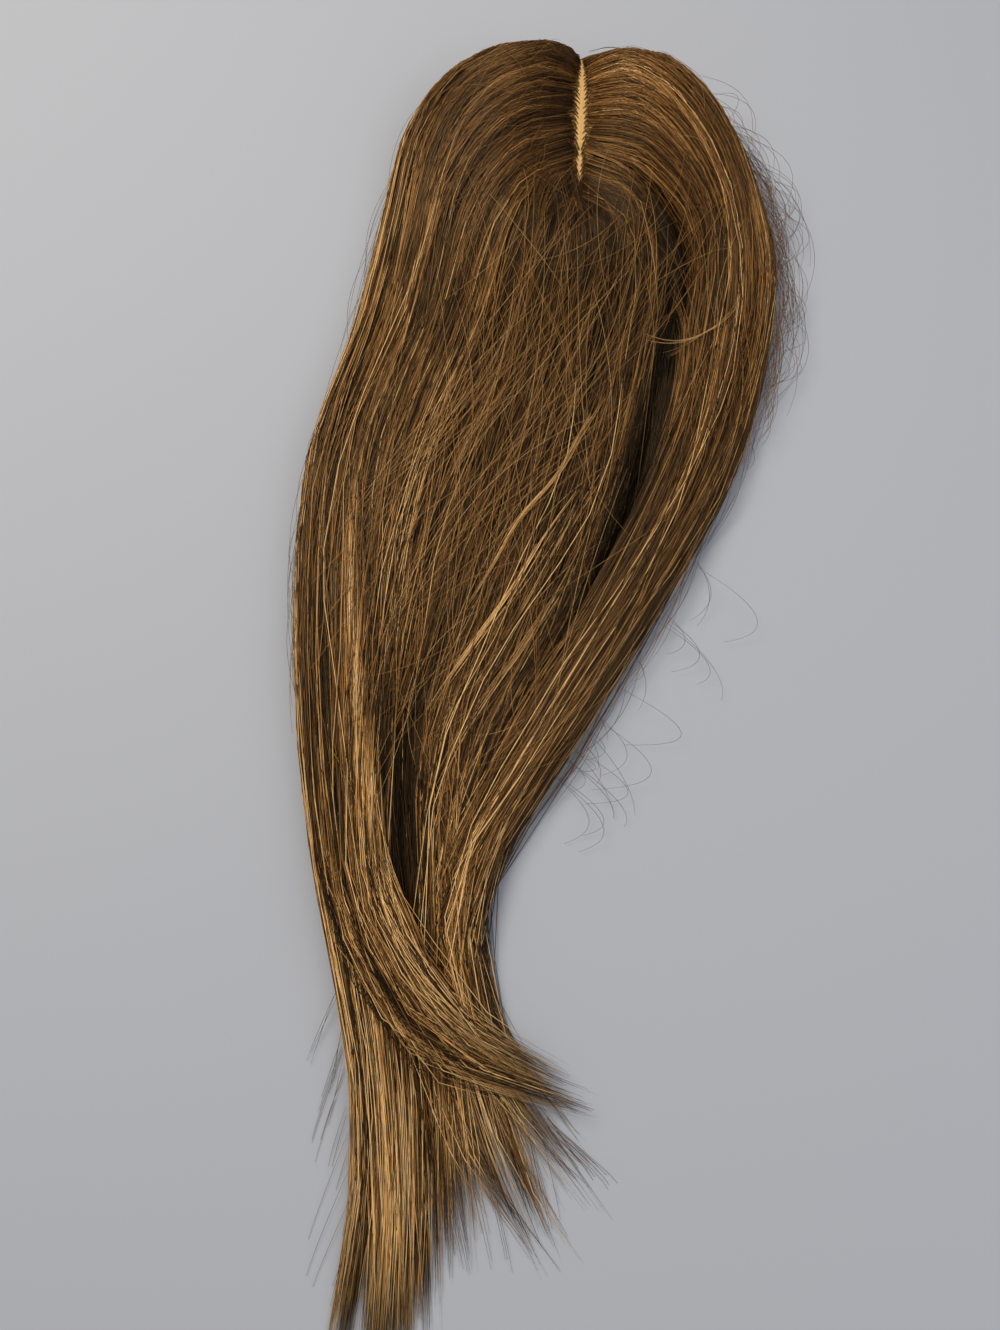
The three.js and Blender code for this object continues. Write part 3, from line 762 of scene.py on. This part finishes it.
def growStrands(lock, heights, laneTone, rng):
    n, rings, clumps = strand["count"], strand["rings"], strand["clumps"]
    row = lock["row"]
    s = np.tile(np.arange(rings, dtype=float), (n, 1))
    s[:, 1:-1] += rng.uniform(-strand["jitter"], strand["jitter"], (n, rings - 2))
    s = (s / (rings - 1)) ** strand["crowding"]
    openSide = {"left": 1, "right": -1}.get(row["open"], 0)
    over = 1 + lockForm["overEdge"]
    low = -over if openSide < 0 else -1.0
    high = over if openSide > 0 else 1.0
    across = rng.uniform(low, high, n)
    clumpAt = np.sort(rng.uniform(low, high, clumps))
    which = np.argmin(np.abs(across[:, None] - clumpAt[None, :]), axis=1)
    clumpTone = rng.normal(0, strand["clumpTone"], clumps)
    clumpTone = np.clip(clumpTone, -strand["clumpMost"], strand["clumpMost"])
    clumpDrift = rng.normal(0, strand["drift"], clumps)
    clumpLift = rng.uniform(*strand["clumpLift"], clumps)
    clumpPhase = rng.uniform(0, math.tau, clumps)
    clumpEnd = rng.uniform(*row["ends"], clumps)
    loose = rng.random(n) < row["loose"]
    later = rng.random(n) < strand["laterRoots"]

    # where each strand starts and ends along its lock
    rooted = rootDistance(lock, np.clip(across, -1, 1), rng)
    start = rooted + later * strand["laterReach"] * rng.random(n) ** 2
    short = row["ragged"] * strand["pointed"] * np.sqrt(np.abs(rng.normal(0, 1, n)))
    end = lock["length"] * clumpEnd[which] * (1 - short)
    dist = start[:, None] + (end - start)[:, None] * s
    share = dist / lock["length"]
    grown = dist - rooted[:, None]
    shown = dist - start[:, None]

    # across the lock: strands gather into clumps, clumps drift, and loose strands wander
    pull = strand["clumpPull"] * smooth(share, *comesIn["gather"])
    pull = pull + strand["tipPull"] * smooth(share, *comesIn["tips"])
    waves = zip(strand["swaySizes"], strand["swayTurns"], rng.uniform(0, math.tau, (3, n, 1)))
    sway = sum(size * np.sin(math.tau * turns * share + phase) for size, turns, phase in waves)
    wander = np.where(loose, strand["looseWander"], strand["wander"])
    sway *= wander[:, None] * smooth(share, *comesIn["sway"])
    toClump = (clumpAt[which] - across)[:, None]
    weave = strand["weave"] * np.sin(math.tau * strand["weaveTurns"] * share + clumpPhase[which][:, None])
    drift = clumpDrift[which][:, None] * smooth(share, *comesIn["drift"])
    drift = drift + weave * smooth(share, *comesIn["weave"])
    splay = strand["tipSplay"] * rng.normal(0, 1, (n, 1)) * smooth(share, *comesIn["splay"])
    place = across[:, None] + toClump * pull + drift + sway + splay
    leftMost = over if openSide > 0 else strand["widest"]
    rightMost = -over if openSide < 0 else -strand["widest"]
    place = np.clip(place, rightMost, leftMost)
    x, y, ownZ = onLock(lock, dist, place)
    rim = base["front"] - strand["rimBack"] + strand["rimOver"] * smooth(grown, *comesIn["rimMm"])
    y = np.minimum(y, rim - strand["rimUneven"] * rng.random((n, 1)))

    # height: on the softened surface, but on the lock's own side at an open edge and where it crosses over
    carried = np.interp(dist, lock["dist"], lock["carried"])
    own = np.maximum(smooth(place * openSide, *comesIn["openSide"]), smooth(carried, *comesIn["carriedMm"]))
    z = heightAt(heights, x, y) * (1 - own) + ownZ * own
    deep = rng.random(n)
    depth = strand["depth"] * deep ** strand["depthPower"]
    valley = np.minimum((toClump / strand["valleyHalf"]) ** 2, strand["valleyMost"])
    settled = (clumpLift[which] - depth)[:, None] - strand["valley"] * valley * pull
    lift = np.where(loose, rng.uniform(*strand["looseVary"], n) * strand["looseLift"], 0)
    lift = lift[:, None] * np.sin(math.pi * s) ** 2
    buried = strand["buried"] * later[:, None] * (1 - smooth(shown, *comesIn["buriedMm"]))
    # painted sheen and painted shade along the tone lines, which also lift and sink the strands
    lineLightShade = lineTone(x, y, carried)
    z = z + settled * smooth(grown, *comesIn["settledMm"]) + lift - buried + strand["lineLift"] * lineLightShade
    ground = np.maximum(strand["lowest"], domeHeight(x, y) + strand["clear"])
    ground = ground + carried * strand["carriedGround"]
    ground = ground + strand["rootLift"] * (1 - deep[:, None]) ** 2 * smooth(grown, *comesIn["rootLiftMm"])
    rise = np.where(later[:, None], 1, smooth(shown, *comesIn["riseMm"]))
    z = np.maximum(ground + (z - ground) * rise, ground)

    thick = rng.uniform(*strand["vary"], n) * np.interp(deep, [0, strand["thinDeep"]], strand["radius"])
    radius = strand["rootThick"] + (1 - strand["rootThick"]) * smooth(grown, *comesIn["thickMm"])
    radius = thick[:, None] * radius * (1 - strand["tipThin"] * smooth(s, *comesIn["tipThin"]))
    tone = np.interp(across, np.linspace(low, high, len(laneTone)), laneTone)
    tone = tone + clumpTone[which] + rng.normal(0, strand["strandTone"], n) + strand["looseTone"] * loose
    # deeper strands are darker: painted shade from the hair lying over them
    tone = tone - strand["deepShade"] * (deep - strand["deepMiddle"])
    spread = row["contrast"] + (1 - row["contrast"]) * smooth(grown, *comesIn["contrastMm"])
    spread = spread + strand["tipContrast"] * share
    tone = strand["tone"] + tone[:, None] * spread + spotTone(x, y) + lineLightShade
    tone = tone + strand["tipTone"] * smooth(share, *comesIn["tipTone"])
    # painted light and shade at the roots beside the parting, fading out away from them
    tone = tone + row["rootTone"] * (1 - smooth(grown, *comesIn["rootLightShadeMm"]))
    # a lock sunk between its neighbours is darkened: painted shade in its hollow
    sunk = np.interp(dist, lock["dist"], lock["sunk"]) * (1 - smooth(share, *comesIn["sunkEnd"]))
    tone = np.clip(tone - strand["sunkShade"] * sunk, 0, 1)
    return np.stack([x, y, z], 2), radius, tone


for node, group in locks.items():
    rng = np.random.default_rng(strand["laneSeed"] + len(node))
    lanes = rng.normal(0, strand["laneTone"], strand["lanes"] * len(group) + 1)
    for number, lock in enumerate(group):
        rng = np.random.default_rng(strand["lockSeed"] + strand["seedStep"] * number + len(node))
        name = f"{node}_lock_{number + 1}"
        firstLane = strand["lanes"] * number
        laneTone = lanes[firstLane:firstLane + strand["lanes"] + 1]
        if node != "hair_right":
            laneTone = laneTone[::-1]
        mesh = tubeMesh(name, *growStrands(lock, surfaces[node], laneTone, rng))
        addPiece(name, mesh, strandMaterial, [node])
print("strands made")

# stray hairs: what all kinds of them share
stray = {"rings": 16, "radius": 0.075, "thinEnds": 0.45, "endShares": (0.1, 0.9), "toneVary": 0.12,
         "overHair": 6, "tautPasses": 60, "lineSteps": 12}


def layStray(x, y, lift):
    # each hair rests on the hair below it and spans its hollows
    high = heightAt(wholeSurface, x, y)
    for step in range(stray["tautPasses"]):
        high[:, 1:-1] = np.maximum(high[:, 1:-1], (high[:, :-2] + high[:, 2:]) / 2)
    return np.stack([x, y, high + lift], 2)


# bunches laid one by one over the surface
strayBunches = [
    dict(points=[(8, -141), (-1, -157), (-8, -170), (-22, -187), (-32, -205), (-41, -220)],
         count=14, spread=1.8, lift=1.4, tone=0.86, thick=1.7),
    dict(points=[(-1, -176), (-12, -192), (-24, -212), (-36, -229), (-47, -245), (-55, -259)],
         count=14, spread=1.8, lift=1.4, tone=0.92, thick=1.7),
    dict(points=[(20, -150), (-2, -186), (-22, -222), (-40, -250)],
         count=8, spread=2.4, lift=1.2, tone=0.93, thick=1.7),
    dict(points=[(2, -196), (-20, -230), (-40, -260), (-50, -280)],
         count=9, spread=2.2, lift=1.1, tone=0.92, thick=1.6),
    dict(points=[(-28, -130), (-42, -160), (-56, -196), (-62, -225)],
         count=10, spread=2.0, lift=0.7, tone=0.85),
    dict(points=[(22, -118), (36, -120), (50, -114), (62, -98)],
         count=10, spread=2.0, lift=1.6, tone=0.9),
    dict(points=[(30, -92), (38, -110), (36, -135), (26, -165)],
         count=14, spread=2.0, lift=0.8, tone=0.75),
]
bunchForm = {"shorter": 0.32, "turns": (0.4, 0.9), "shift": 6, "sway": 0.6, "slant": 0.4, "lift": (0.3, 1.0)}


def growBunch(bunch, rng):
    n = bunch["count"]
    line = smoothLine(bunch["points"], stray["lineSteps"])
    run = lengthsAlong(line)
    ends = rng.uniform(0, bunchForm["shorter"], (n, 2))
    share = np.linspace(0, 1, stray["rings"])[None, :]
    share = ends[:, :1] + (1 - ends[:, 1:] - ends[:, :1]) * share
    x, y = (np.interp(share * run[-1], run, line[:, i]) for i in (0, 1))
    turns = rng.uniform(*bunchForm["turns"], (n, 1))
    sway = np.sin(math.tau * share * turns + rng.uniform(0, bunchForm["shift"], (n, 1)))
    off = rng.normal(0, bunch["spread"] / 2, (n, 1)) + bunchForm["sway"] * sway
    lift = bunch["lift"] * rng.uniform(*bunchForm["lift"], (n, 1))
    return layStray(x + off, y + bunchForm["slant"] * off, lift)


# single hairs that cross over the surface
crossHairs = [
    dict(middle=(0, -114), reach=(42, 30), headingDeg=-100, turn=0.45,
         count=130, length=(30, 80), lift=1.3, tone=0.68),
    dict(middle=(-30, -190), reach=(50, 62), headingDeg=-116, turn=0.32,
         count=130, length=(45, 130), lift=1.2, tone=0.8),
    dict(middle=(-30, -190), reach=(50, 62), headingDeg=-112, turn=0.3,
         count=120, length=(45, 130), lift=0.9, tone=0.45),
    dict(middle=(45, -130), reach=(20, 45), headingDeg=-105, turn=0.25,
         count=40, length=(30, 80), lift=0.9, tone=0.7),
    dict(middle=(-62, -300), reach=(24, 40), headingDeg=-95, turn=0.4,
         count=26, length=(30, 80), lift=0.9, tone=0.85),
    dict(middle=(-18, -262), reach=(28, 32), headingDeg=-128, turn=0.3,
         count=60, length=(12, 36), lift=0.8, tone=0.7),
    dict(middle=(-18, -262), reach=(28, 32), headingDeg=-124, turn=0.25,
         count=60, length=(14, 44), lift=0.7, tone=0.2),
    dict(middle=(-32, -42), reach=(22, 34), headingDeg=-140, turn=0.6,
         count=55, length=(8, 30), lift=1.0, tone=0.55),
    dict(middle=(32, -42), reach=(20, 34), headingDeg=-45, turn=0.6,
         count=45, length=(8, 30), lift=1.0, tone=0.6),
]
crossForm = {"spare": 2, "bend": 0.55, "lift": (0.2, 1.0)}


def growCross(kind, rng):
    # more than are wanted, then the ones that stay over the hair
    n = kind["count"] * crossForm["spare"]
    middle = np.array(kind["middle"]) + rng.uniform(-1, 1, (n, 2)) * np.array(kind["reach"])
    facing = math.radians(kind["headingDeg"]) + rng.normal(0, kind["turn"], n)
    bend = rng.normal(0, crossForm["bend"], n)
    t = np.linspace(-0.5, 0.5, stray["rings"])
    angle = facing[:, None] + bend[:, None] * t[None, :]
    step = rng.uniform(*kind["length"], n)[:, None] / (stray["rings"] - 1)
    x = np.cumsum(np.cos(angle) * step, axis=1)
    y = np.cumsum(np.sin(angle) * step, axis=1)
    x = x - x.mean(1, keepdims=True) + middle[:, :1]
    y = y - y.mean(1, keepdims=True) + middle[:, 1:]
    made = layStray(x, y, kind["lift"] * rng.uniform(*crossForm["lift"], (n, 1)))
    over = np.min(heightAt(wholeSurface, x, y), axis=1) > stray["overHair"]
    return made[over][:kind["count"]]


# hairs that curl off an edge, from roots between two places
edgeHairs = [
    dict(start=(40, -195), end=(-10, -275), count=26, out=(1, -0.3),
         reach=(6, 30), curl=(0.5, 1.0), drop=24, tone=0.3),
    dict(start=(-84, -335), end=(-76, -430), count=24, out=(-0.6, -1),
         reach=(5, 26), curl=(0.15, 0.4), drop=12, tone=0.35),
    dict(start=(-52, -400), end=(-15, -385), count=50, out=(0.3, -1),
         reach=(12, 34), curl=(0.25, 0.5), drop=8, tone=0.4),
    dict(start=(-20, -370), end=(-12, -376), count=16, out=(1, -0.3),
         reach=(8, 22), curl=(0.3, 0.5), drop=4, tone=0.4),
    dict(start=(-22, -392), end=(-8, -384), count=20, out=(1, -0.7),
         reach=(10, 30), curl=(0.3, 0.5), drop=6, tone=0.5),
]
edgeForm = {"tuck": 4, "drop": (0.3, 1.2), "rootHigh": (0.4, 0.95), "rootLeast": 0.6, "fall": 0.8,
            "fallOver": (0.2, 1.0), "lowest": 0.3}


def growEdge(kind, rng):
    n = kind["count"]
    share = rng.random((n, 1))
    root = np.array(kind["start"]) * (1 - share) + np.array(kind["end"]) * share
    out = np.array(kind["out"]) / np.hypot(*kind["out"])
    reach = rng.uniform(*kind["reach"], (n, 1))
    t = np.linspace(0, 1, stray["rings"])[None, :]
    curl = rng.uniform(*kind["curl"], (n, 1))
    away = reach * np.sin(math.pi * t * curl)
    along = kind["drop"] * rng.uniform(*edgeForm["drop"], (n, 1)) * t
    x = root[:, :1] - edgeForm["tuck"] * out[0] + out[0] * away
    y = root[:, 1:] - edgeForm["tuck"] * out[1] + out[1] * away - along
    rootHigh = heightAt(wholeSurface, x[:, :1], y[:, :1]) * rng.uniform(*edgeForm["rootHigh"], (n, 1))
    rootHigh = np.maximum(rootHigh, edgeForm["rootLeast"])
    z = rootHigh * (1 - edgeForm["fall"] * smooth(t, *edgeForm["fallOver"])) + edgeForm["lowest"]
    return np.stack([x, y, z], 2)


# fuzz: fine hairs that run along the outline and bow off it
fuzz = [
    dict(outline=[(40, -6), (56, -27), (67, -47), (74, -68), (76, -93), (73, -117), (66, -145)],
         side=1, count=110, length=(14, 60), reach=(2, 16), curl=(0.6, 1.5), high=(3, 14), tone=0.35),
    dict(outline=[(46, -14), (57, -30), (67, -50), (74, -70), (76, -93), (73, -117), (66, -145), (58, -164)],
         side=1, count=150, length=(10, 36), reach=(2.5, 7.5), curl=(0.5, 1.2), high=(3, 16), tone=0.4),
    dict(outline=[(-50, -10), (-63, -25), (-72, -60), (-80, -96), (-90, -140), (-98, -175), (-100, -210),
                  (-97, -270)],
         side=-1, count=60, length=(25, 70), reach=(1, 6), curl=(0.6, 1.1), high=(3, 14), tone=0.4),
    dict(outline=[(66, -145), (58, -164), (42, -193), (23, -229), (2, -263), (-22, -296)],
         side=1, count=40, length=(25, 70), reach=(1, 7), curl=(0.6, 1.1), high=(3, 14), tone=0.4),
    dict(outline=[(4, 5), (18, 8), (32, 4), (46, -8), (57, -24)],
         side=1, count=30, length=(10, 35), reach=(2, 3.5), curl=(0.6, 1.2), high=(4, 12), tone=0.4),
]
fuzzForm = {"tuck": 2.5, "fall": 0.6, "lowest": 0.5}


def growFuzz(kind, rng):
    n = kind["count"]
    line = smoothLine(kind["outline"], stray["lineSteps"])
    run = lengthsAlong(line)
    ahead = np.gradient(line, run, axis=0)
    away = np.stack([-ahead[:, 1], ahead[:, 0]], 1) * kind["side"]
    t = np.linspace(0, 1, stray["rings"])[None, :]
    length = rng.uniform(*kind["length"], (n, 1))
    at = rng.random((n, 1)) * (run[-1] - length) + length * t
    reach = rng.uniform(*kind["reach"], (n, 1))
    bow = reach * np.sin(math.pi * t * rng.uniform(*kind["curl"], (n, 1))) - fuzzForm["tuck"]
    x, y = (np.interp(at, run, line[:, i]) + bow * np.interp(at, run, away[:, i]) for i in (0, 1))
    high = rng.uniform(*kind["high"], (n, 1)) * (1 - fuzzForm["fall"] * t) + fuzzForm["lowest"]
    return np.stack([x, y, high], 2)


# barbs: the rows of roots beside the bare strip, short dark hairs that point in and back
barbs = [
    dict(first=-2, last=-66, every=2.2, inner=0.4, past=0.7, back=2.4, tone=0.12, thick=3.0),
    dict(first=-2.4, last=-66, every=2.2, inner=0.65, past=1.1, back=2.0, tone=0.22, thick=2.2),
]
barbForm = {"uneven": 0.2, "innerUneven": 0.15, "curve": 0.8, "clear": 0.25, "rise": 0.6}


def growBarbs(kind, rng):
    rows = np.arange(kind["first"], kind["last"], -kind["every"])
    n = 2 * len(rows)
    side = np.tile([1.0, -1.0], len(rows))[:, None]
    t = np.linspace(0, 1, stray["rings"])[None, :]
    root = np.repeat(rows, 2)[:, None] + rng.uniform(-barbForm["uneven"], barbForm["uneven"], (n, 1))
    bare = bareStrip(root)
    inner = kind["inner"] + rng.uniform(-barbForm["innerUneven"], barbForm["innerUneven"], (n, 1))
    inner = bare * inner
    y = root + kind["back"] * t ** barbForm["curve"]
    x = stripMiddle(y) + side * (inner + (bare + kind["past"] - inner) * t)
    return np.stack([x, y, domeHeight(x, y) + barbForm["clear"] + barbForm["rise"] * t], 2)


def makeStray(name, grow, kinds, seed):
    rng = np.random.default_rng(seed)
    points, tones, thick = [], [], []
    for kind in kinds:
        made = grow(kind, rng)
        points.append(made)
        tones.append(np.clip(kind["tone"] + rng.normal(0, stray["toneVary"], len(made)), 0, 1))
        thick.append(np.full(len(made), stray["radius"] * kind.get("thick", 1)))
    tone = np.repeat(np.concatenate(tones)[:, None], stray["rings"], 1)
    middle = np.sin(math.pi * np.clip(np.linspace(0, 1, stray["rings"]), *stray["endShares"]))
    radius = np.concatenate(thick)[:, None] * (stray["thinEnds"] + (1 - stray["thinEnds"]) * middle)
    mesh = tubeMesh(name, np.concatenate(points), radius, tone)
    addPiece(name, mesh, strandMaterial, ["hair_back"])


makeStray("stray_bunches", growBunch, strayBunches, 7)
makeStray("stray_cross_hairs", growCross, crossHairs, 8)
makeStray("stray_edge_hairs", growEdge, edgeHairs, 9)
makeStray("stray_fuzz", growFuzz, fuzz, 10)
makeStray("parting_barbs", growBarbs, barbs, 11)
print("stray hairs made")

# floor and light
studio = {
    "floor": "#9ea1a7", "floorSize": 6.0, "floorRoughness": 0.9, "floorGloss": 0.2,
    "world": "#eef1f5", "worldStrength": 0.35, "aim": (-20, -200, 0),
    "lamps": [
        dict(name="key_light", place=(-450, 200, 900), size=600, watts=12, colour="#fff6ea"),
        dict(name="fill_light", place=(600, -500, 700), size=900, watts=4, colour="#f2f6ff"),
    ],
}

floorShell = bmesh.new()
bmesh.ops.create_grid(floorShell, x_segments=1, y_segments=1, size=studio["floorSize"] / 2)
floorMesh = shellMesh(floorShell, "floor")
floor = bpy.data.objects.new("floor", floorMesh)
scene.collection.objects.link(floor)
floorMaterial, floorTree = newMaterial("plain_matt_floor")
floorShader = addNode(floorTree, "ShaderNodeBsdfPrincipled",
                      {"Base Color": linear(studio["floor"]), "Roughness": studio["floorRoughness"],
                       "Specular IOR Level": studio["floorGloss"]})
addNode(floorTree, "ShaderNodeOutputMaterial", None, {"Surface": floorShader.outputs["BSDF"]})
floorMesh.materials.append(floorMaterial)

world = bpy.data.worlds.new("studio")
world.use_nodes = True
sky = world.node_tree.nodes["Background"]
sky.inputs["Color"].default_value = linear(studio["world"])
sky.inputs["Strength"].default_value = studio["worldStrength"]
scene.world = world
for lamp in studio["lamps"]:
    data = bpy.data.lights.new(lamp["name"], "AREA")
    data.shape = "DISK"
    data.size = lamp["size"] * mm
    data.energy = lamp["watts"]
    data.color = linear(lamp["colour"])[:3]
    light = bpy.data.objects.new(lamp["name"], data)
    light.location = toRow(lamp["place"])
    aim = toRow(studio["aim"]) - toRow(lamp["place"])
    light.rotation_euler = Vector(aim).to_track_quat("-Z", "Y").to_euler()
    scene.collection.objects.link(light)
scene.view_settings.view_transform = "Standard"
print("floor and light set")
